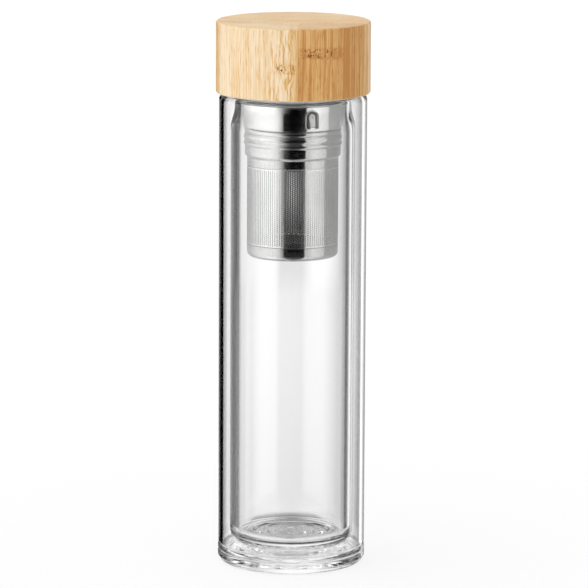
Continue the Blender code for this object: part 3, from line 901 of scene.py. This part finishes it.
def tongue_skin(shape, angle, depth):
    """Rows of points over the tongue, at a depth under the collar's outside."""
    middle = TONGUE_TOP - TONGUE_HALF - DIMPLE_DROP
    skin = []
    for row in range(TONGUE_ROWS + 1):
        rise = math.sin(TURN / 4 * row / TONGUE_ROWS)
        height = TONGUE_FOOT + (TONGUE_TOP - TONGUE_FOOT) * rise
        line = []
        for column in range(TONGUE_COLUMNS + 1):
            share = 2 * column / TONGUE_COLUMNS - 1
            across = share * tongue_half(height)
            away = (across ** 2 + (height - middle) ** 2) / DIMPLE_REACH ** 2
            out = COLLAR_RADIUS - depth - TONGUE_LEAN * rise ** 1.5 - DIMPLE * math.exp(-away)
            edge = TONGUE_EDGE * share ** 6
            out += edge if depth else -edge
            line.append(shape.verts.new(on_wall(out, angle, across, height)))
        skin.append(line)
    return skin


def skin_border(skin):
    """The points round a skin: up the last column, back over the tip, down and along."""
    up, down = [line[-1] for line in skin], [line[0] for line in skin[-2::-1]]
    return up + skin[-1][-2::-1] + down + skin[0][1:-1]


def spring_tongue(index, angle):
    """A closed strip: an outer and an inner skin, joined round the edge."""
    shape = bmesh.new()
    outer, inner = (tongue_skin(shape, angle, depth) for depth in (0, SHEET))
    for skin, turn in ((outer, 1), (inner, -1)):
        for low, high in zip(skin, skin[1:]):
            for column in range(TONGUE_COLUMNS):
                corners = (low[column], low[column + 1], high[column + 1], high[column])
                shape.faces.new(corners[::turn])
    bridge(shape, skin_border(inner), skin_border(outer))
    face_out(shape)
    finish_piece(f"tongue_{index}", shape, SPRUNG, f"tongue_{index}", "steel_sheet",
                 f"spring_tongue_{index}", sharp=TONGUE_SHARP)


for number, bearing in enumerate(TONGUE_ANGLES, 1):
    spring_tongue(number, bearing)

# %% [markdown]
# ## The basket's rim
# A ring is rolled with three beads, so that it is stiff and easy to grip, and its top
# plugs up into the collar. Under the beads come a plain band, a step, and a lower band
# that the sleeve is welded to. The groove that the tongues click into takes a second
# material, picked face by face: it is duller because the groove isn't polished, and its
# darker colour is painted shade for the recess behind the collar's windows.

# %% The rim
BEAD_BAND = 7.6 * MM
BEAD_SHARES = (0.29, 0.43, 0.28)
BEAD_DEPTH = 0.5 * MM
RIM_BAND = 4.2 * MM
RIM_STEP = 1.1 * MM
BEAD_STEPS = 14
COLLAR_GAP = 0.25 * MM
PLUG_EDGE = 0.2 * MM
PLUG_SEAT = 0.1 * MM
GROOVE_DEPTH = 3.2 * MM
GROOVE_FOOT = (1.2 * MM, 0.5 * MM)
BAND_EDGE = (0.12 * MM, 0.2 * MM)
STEP_EDGE = 0.15 * MM


def bead_points(top):
    """The rolled beads down the outside, each a half wave."""
    points = []
    for share in BEAD_SHARES:
        height = BEAD_BAND * share
        for step in range(BEAD_STEPS):
            swell = math.sin(math.pi * step / BEAD_STEPS)
            radius = PLUG_RADIUS - BEAD_DEPTH * (1 - swell)
            points.append((radius, top - height * step / BEAD_STEPS))
        top -= height
    return points


def basket_rim():
    band = PLUG_RADIUS - BEAD_DEPTH
    beads_top = COLLAR_END - COLLAR_GAP
    beads_end = beads_top - BEAD_BAND
    band_end = beads_end - RIM_BAND
    step_end = band_end - RIM_STEP
    waist = PLUG_RADIUS - GROOVE_DEPTH
    waist_end, groove_end = (COLLAR_END + height for height in GROOVE_FOOT)
    turned_in, turned_up = BAND_EDGE
    plug = [(PLUG_RADIUS - SHEET, PLUG_TOP), (PLUG_RADIUS, PLUG_TOP - PLUG_EDGE),
            (PLUG_RADIUS, PLUG_TOP - SHEET), (waist, PLUG_TOP - 2 * SHEET), (waist, waist_end),
            (PLUG_RADIUS, groove_end), (PLUG_RADIUS, COLLAR_END - PLUG_SEAT)]
    lower = [(band, beads_end), (band, band_end + turned_up), (band - turned_in, band_end),
             (SLEEVE_RADIUS + STEP_EDGE, step_end + STEP_EDGE), (SLEEVE_RADIUS, step_end),
             (SLEEVE_RADIUS, RIM_RING_END)]
    inside = [(SLEEVE_RADIUS - SHEET, RIM_RING_END), (SLEEVE_RADIUS - SHEET, step_end + SHEET),
              (band - SHEET, band_end + SHEET), (band - SHEET, beads_top), (waist - SHEET, waist_end),
              (waist - SHEET, PLUG_TOP - SHEET), (PLUG_RADIUS - 2 * SHEET, PLUG_TOP)]
    profile = plug + bead_points(beads_top) + lower + inside
    shape = turned(profile[::-1], STEEL_SIDES)
    # The groove's faces take the second material, whose dark colour is painted shade.
    for face in shape.faces:
        middle = face.calc_center_median()
        face.material_index = int(middle.z > COLLAR_END + MM and middle.xy.length < waist + MM)
    made = finish_piece("rim", shape, ROLLED, "basket", "steel_sheet", "basket_rim")
    made.data.materials.append(GROOVE_SHADE_STEEL)


basket_rim()

# %% [markdown]
# ## The perforated sleeve and floor
# The sheet has thousands of small holes in staggered rows. They are real holes here: each
# cell of the sheet is a six-cornered frame round one opening, and the cells share their
# corners, so the sheet stays one closed surface after it is given its thickness.

# %% Perforated sheet
SLEEVE_CELLS = 126
SLEEVE_ROWS = 38
PLAIN_EDGE = 0.4 * MM
HOLE_SHARE = 0.78
FLOOR_CELL = 1.1 * MM
SAME_POINT = 0.001 * MM


def frame_cell(shape, corner, middle, wide, high):
    """Six faces round one opening. corner(across, up) gives the shared point at a place."""
    across, up = middle
    hole = min(wide, high) / 2 * HOLE_SHARE
    rim = [(0, high / 2), (-wide / 2, high / 2), (-wide / 2, -high / 2),
           (0, -high / 2), (wide / 2, -high / 2), (wide / 2, high / 2)]
    turns = [math.radians(degrees) for degrees in (90, 150, 210, 270, 330, 30)]
    outer = [corner(across + x, up + y) for x, y in rim]
    inner = [corner(across + hole * math.cos(turn), up + hole * math.sin(turn)) for turn in turns]
    for index in range(6):
        after = (index + 1) % 6
        shape.faces.new((outer[index], outer[after], inner[after], inner[index]))


def point_store(shape, place):
    """Makes each point once: a place asked for again gives the same vertex."""
    known = {}

    def point(across, up):
        key = (round(across / SAME_POINT), round(up / SAME_POINT))
        if key not in known:
            known[key] = shape.verts.new(place(across, up))
        return known[key]

    return point


def thicken(made):
    """Gives the sheet its thickness for good, inward, with crisp edges round each hole."""
    change = made.modifiers.new("thickness", "SOLIDIFY")
    change.thickness, change.offset = MESH_SHEET, -1
    bake_shape(made)
    made.data.set_sharp_from_angle(angle=SHARP)


def perforated_sleeve():
    shape = bmesh.new()
    around = TURN * SLEEVE_RADIUS
    step = around / SLEEVE_CELLS
    first, last = SLEEVE_END + PLAIN_EDGE, SLEEVE_TOP - PLAIN_EDGE
    high = (last - first) / SLEEVE_ROWS
    point = point_store(
        shape, lambda across, up: about_axis(SLEEVE_RADIUS, across / SLEEVE_RADIUS, up))

    def corner(across, up):
        """The way round starts again where the last column meets the first."""
        across %= around
        return point(across if around - across > 10 * SAME_POINT else 0.0, up)

    def lying(up, across):
        """The same, for a cell that lies on its side, so that the columns stagger."""
        return corner(across, up)

    for column in range(SLEEVE_CELLS):
        odd = column % 2
        for row in range(SLEEVE_ROWS - odd):
            frame_cell(shape, lying, (first + high * (row + 0.5 + odd / 2), step * column), high, step)
        left, right = step * (column - 0.5), step * (column + 0.5)
        for end, inner, half in ((SLEEVE_END, first, high / 2), (SLEEVE_TOP, last, -high / 2)):
            levels = (end, inner, inner + half)[:2 + odd]
            shape.faces.new([corner(right, level) for level in levels]
                            + [corner(left, level) for level in reversed(levels)])
    face_out(shape)
    made = finish_piece("sleeve", shape, PUNCHED, "basket", "steel_perforated", "basket_sleeve")
    thicken(made)


perforated_sleeve()


# %% The perforated floor
def perforated_floor():
    shape = bmesh.new()
    point = point_store(shape, lambda across, up: (across, up, FLOOR_LEVEL))
    rows = int(FLOOR_RADIUS / FLOOR_CELL)
    for row in range(-rows, rows + 1):
        for cell in range(-rows, rows + 1):
            middle = (FLOOR_CELL * (cell + row % 2 / 2), FLOOR_CELL * row)
            if math.hypot(*middle) < FLOOR_RADIUS - FLOOR_CELL:
                frame_cell(shape, point, middle, FLOOR_CELL, FLOOR_CELL)
    reach = FLOOR_RADIUS - FLOOR_CELL * 1.2
    edge = [e for e in shape.edges if e.is_boundary
            and max(v.co.xy.length for v in e.verts) > reach]
    outer = [shape.verts.new(about_axis(FLOOR_RADIUS, angle, FLOOR_LEVEL))
             for angle in angles_round(STEEL_SIDES)]
    edge += [shape.edges.new(pair) for pair in neighbours(outer)]
    bmesh.ops.triangle_fill(shape, use_beauty=True, edges=edge)
    face_out(shape)
    if next(iter(shape.faces)).normal.z < 0:
        bmesh.ops.reverse_faces(shape, faces=shape.faces)
    made = finish_piece("floor", shape, PUNCHED, "basket", "steel_perforated", "basket_floor")
    thicken(made)


perforated_floor()

# %% [markdown]
# ## The basket's base
# A pressed ring closes the sleeve. Its round corner turns in to a lip that carries the
# floor.

# %% The base ring
BASE_CORNER = 2.5 * MM
BASE_LIP = 4.8 * MM


def basket_base():
    core = SLEEVE_RADIUS - BASE_CORNER
    middle = BASE_END + BASE_CORNER
    lip = SLEEVE_RADIUS - BASE_LIP
    profile = [(SLEEVE_RADIUS - SHEET, BASE_TOP)]
    profile += arc(core, middle, BASE_CORNER - SHEET, 0, -90, 8)
    profile += [(lip, BASE_END + SHEET), (lip, BASE_END)]
    profile += arc(core, middle, BASE_CORNER, -90, 0, 12)
    profile += [(SLEEVE_RADIUS, BASE_TOP)]
    shape = turned(profile, STEEL_SIDES)
    face_out(shape)
    finish_piece("base", shape, ROLLED, "basket", "steel_sheet", "basket_base")


basket_base()

# %% [markdown]
# ## Bamboo
# The lid is turned from a block of bamboo slats glued face to face, so the slats run
# through the whole lid: on the side they show as upright bands, and on top as lines from
# left to right. Fibres run up the side as short dashes and come out on top as specks.
# One coordinate across the slats drives them, so the side and the top agree. The two
# nodes of the cane, the dark flame and the strips stand only in front, as in the picture.

# %% Tones and places of the slats
BAMBOO_PALE = srgb(254, 233, 200)
BAMBOO_HONEY = srgb(236, 190, 124)
BAMBOO_AMBER = srgb(200, 138, 72)
BAMBOO_PORE = srgb(140, 78, 30)
END_GRAIN = srgb(226, 196, 152)
END_GRAIN_SHARE = 0.55
BAMBOO_SHINE = 0.35
UNDERSIDE = srgb(228, 222, 212)
SLAT = 5.6 * MM
SLAT_SLANT = 0.16
SLAT_SWAY = 0.25
SLAT_WIDTH = 21 * MM
GLUE = (0.015, 0.05)
FRONT = (-12 * MM, -8 * MM)
UPWARD = (0.6, 0.8)
FIBRES = (2400, 2400, 170)
FIBRE_DEPTH = 0.03 * MM
FIBRE_SPREAD = (0.52, 0.66)
LONG_FIBRES = (1300, 1300, 26)
BROAD_TONES = (70, 70, 9)
NODES = ((2.4 * MM, 21.8 * MM, 230.9 * MM), (-7.5 * MM, 0.3 * MM, 224.4 * MM))
NODE_HALF, NODE_SOFT = 2.4 * MM, 0.8 * MM
PORES_HALF, PORES_SOFT = 1.7 * MM, 0.5 * MM
NODE_END = 1.2 * MM
NODE_SWAY = 3.0 * MM
NODE_RIPPLE = (420, 420, 420)
NODE_GRAIN = (1100, 1100, 800)
STREAK_PLACE = (-1.6 * MM, 1.9 * MM, 0.5 * MM)
STREAK_SWAY = 2.4 * MM
HONEY_EDGE = (1.3 * MM, 2.5 * MM)
BROWN_EDGE = (21.3 * MM, 21.9 * MM)
FLAMES = (1000, 1000, 80)
FLAME_PLACE = (-10 * MM, 0.5 * MM, 1.5 * MM)
SWERVE = 5 * MM
SWERVES = (170, 170, 120)

# %% How strongly each mark shows
PLAIN_TONE = 0.33
DASH_TONE, LONG_TONE, BROAD_TONE, PIECE_TONE = 0.3, 1.1, 0.8, 0.2
HONEY_TONE, HONEY_LESS, HONEY_GRAIN = 0.56, 0.24, 0.9
FLAME_TONE, STREAK_TONE, BROWN_TONE, NODE_TONE, GLUE_TONE = 0.5, 0.2, 0.08, 0.3, 0.12
PLAIN_ROUGH, LONG_ROUGH, TOP_ROUGH = 0.34, 0.2, 0.12
FIBRE_RISE, LONG_RISE, GLUE_CUT, PORE_CUT = 0.5, 0.6, 0.5, 1.5
SLAT_SHIFT, PIECE_SEED = 7, 3.7
RIPPLE_SPREAD, PORE_SPREAD = (0.3, 0.7), (0.56, 0.61)


# %% The bamboo material
def inside_band(value, low, high, soft):
    """1 between low and high, with soft edges."""
    return value.between(low - soft, low + soft) * (1 - value.between(high - soft, high + soft))


def chance(number):
    """A random value from 0 to 1 that stays the same for the same number."""
    return number.node("ShaderNodeTexWhiteNoise", {"noise_dimensions": "1D"}, {"W": number}, "Value")


def node_marks(place, x, z, front):
    """Two nodes of the cane in front: a band of swirled fibres with small pores."""
    ripple = stretched_noise(place, NODE_RIPPLE, detail=3.0)
    grain = stretched_noise(place, NODE_GRAIN, detail=2.0)
    height = z + (ripple - 0.5) * NODE_SWAY
    band, pores = 0.0, 0.0
    for low, high, level in NODES:
        spot = inside_band(x, low, high, NODE_END) * front
        band += inside_band(height, level - NODE_HALF, level + NODE_HALF, NODE_SOFT) * spot
        pores += inside_band(height, level - PORES_HALF, level + PORES_HALF, PORES_SOFT) * spot
    return band * ripple.between(*RIPPLE_SPREAD), pores * grain.between(*PORE_SPREAD)


def bamboo_material():
    made, place, sockets = new_material("turned_bamboo")
    x, y, z = (place.part(axis) for axis in "XYZ")
    front = 1 - y.between(*FRONT)
    facing = place.node("ShaderNodeTexCoord", output="Normal").part("Z")
    on_top, under = facing.between(*UPWARD), (facing * -1).between(*UPWARD)
    fibre = stretched_noise(place, FIBRES, detail=2.5)
    long_fibre = stretched_noise(place, LONG_FIBRES, detail=3.0)
    broad = stretched_noise(place, BROAD_TONES, detail=2.0)
    across = (y + x * SLAT_SLANT) / SLAT + (broad - 0.5) * SLAT_SWAY
    slat = across.math("FLOOR")
    piece = (x / SLAT_WIDTH + chance(slat) * SLAT_SHIFT).math("FLOOR")
    luck = chance(piece * PIECE_SEED + slat)
    glue = 1 - across.math("PINGPONG", 0.5).between(*GLUE)
    dash = fibre.between(*FIBRE_SPREAD)
    tone = dash * DASH_TONE + (long_fibre - 0.5) * LONG_TONE + (broad - 0.5) * BROAD_TONE
    tone = tone + (luck - 0.5) * PIECE_TONE + PLAIN_TONE
    swerve = stretched_noise(place, SWERVES, detail=2.0)
    bent = place.node("ShaderNodeCombineXYZ", {}, {0: x + (swerve - 0.5) * SWERVE, 1: y, 2: z})
    flame = stretched_noise(bent, FLAMES, detail=2.0).between(*FIBRE_SPREAD)
    flame = flame * inside_band(x, *FLAME_PLACE)
    streak = inside_band(x + (long_fibre - 0.5) * STREAK_SWAY, *STREAK_PLACE)
    honey, brown = x.between(*HONEY_EDGE), x.between(*BROWN_EDGE)
    strips = honey * HONEY_TONE - HONEY_LESS + (long_fibre - 0.5) * honey * HONEY_GRAIN
    band, pores = node_marks(place, x, z, front)
    marks = strips + flame * FLAME_TONE + streak * STREAK_TONE + brown * BROWN_TONE
    tone = tone + marks * front + band * NODE_TONE + glue * GLUE_TONE
    stops = [(0.0, BAMBOO_PALE), (0.45, BAMBOO_HONEY), (1.0, BAMBOO_AMBER)]
    wood = place.node("ShaderNodeValToRGB", {"stops": stops}, {0: tone})
    wood = pores.mix(wood, BAMBOO_PORE)
    colour = under.mix((on_top * END_GRAIN_SHARE).mix(wood, END_GRAIN), UNDERSIDE)
    rough = long_fibre * LONG_ROUGH + PLAIN_ROUGH + on_top * TOP_ROUGH
    height = fibre * FIBRE_RISE + long_fibre * LONG_RISE - glue * GLUE_CUT - pores * PORE_CUT
    fill(sockets, {"Base Color": colour, "Roughness": rough, "Specular IOR Level": BAMBOO_SHINE,
                   "Normal": bump(height, FIBRE_DEPTH, strength=0.6)})
    return made


# %% The lid
LID_EDGE = 0.9 * MM


def bamboo_lid():
    profile = [(0, CAVITY_TOP), (LID_BORE, CAVITY_TOP), (LID_BORE, LID_UNDER)]
    profile += rounded(LID_RADIUS, LID_UNDER, LID_EDGE, -90, 0)
    profile += rounded(LID_RADIUS, LID_TOP, LID_EDGE, 0, 90)
    profile += [((LID_RADIUS - LID_EDGE) / 2, LID_TOP), (0, LID_TOP)]
    shape = turned(profile, STEEL_SIDES, closed=False)
    face_out(shape)
    finish_piece("bamboo_lid", shape, bamboo_material(), "lid", "bamboo", "bamboo_cap")


bamboo_lid()

# %% [markdown]
# ## Inside the lid
# The thread ring, the gasket and the liner disc keep the model's own shapes, because they
# are plain shapes that hide under the bamboo. Each gets its own finish.

# %% Finishes inside the lid
MOULD_CLOUDS = (400, 400, 400)
MOULD_SPREAD = (0.3, 0.75)
MOULD_SHADE = 0.9
MOULD_ROUGHER = 0.15
MOULD_DEPTH = 0.03 * MM


def moulded_material(name, colour, rough):
    """A matt moulding with a faint cloudy skin."""
    made, place, sockets = new_material(name)
    cloud = stretched_noise(place, MOULD_CLOUDS, detail=5.0)
    fill(sockets, {"Base Color": clouded(cloud, MOULD_SPREAD, colour, MOULD_SHADE),
                   "Roughness": cloud * MOULD_ROUGHER + rough,
                   "Normal": bump(cloud, MOULD_DEPTH, strength=0.3)})
    return made


INSIDE = {"lid_thread_ring": moulded_material("insert_plastic", srgb(206, 205, 202), 0.35),
          "lid_gasket": moulded_material("gasket_rubber", srgb(232, 231, 227), 0.45),
          "lid_liner_disc": PRESSED}
for node, surface in INSIDE.items():
    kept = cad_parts[node]
    kept.data.materials.clear()
    kept.data.materials.append(surface)
print("finished inside the lid:", ", ".join(INSIDE))

# %% [markdown]
# ## The render
# Glass in glass needs many bounces, or the light stops inside and the walls turn black.

# %% Render settings
scene = bpy.context.scene
scene.view_settings.view_transform = "Standard"
scene.cycles.max_bounces = 40
scene.cycles.transmission_bounces = 40
scene.cycles.glossy_bounces = 24
scene.cycles.transparent_max_bounces = 24
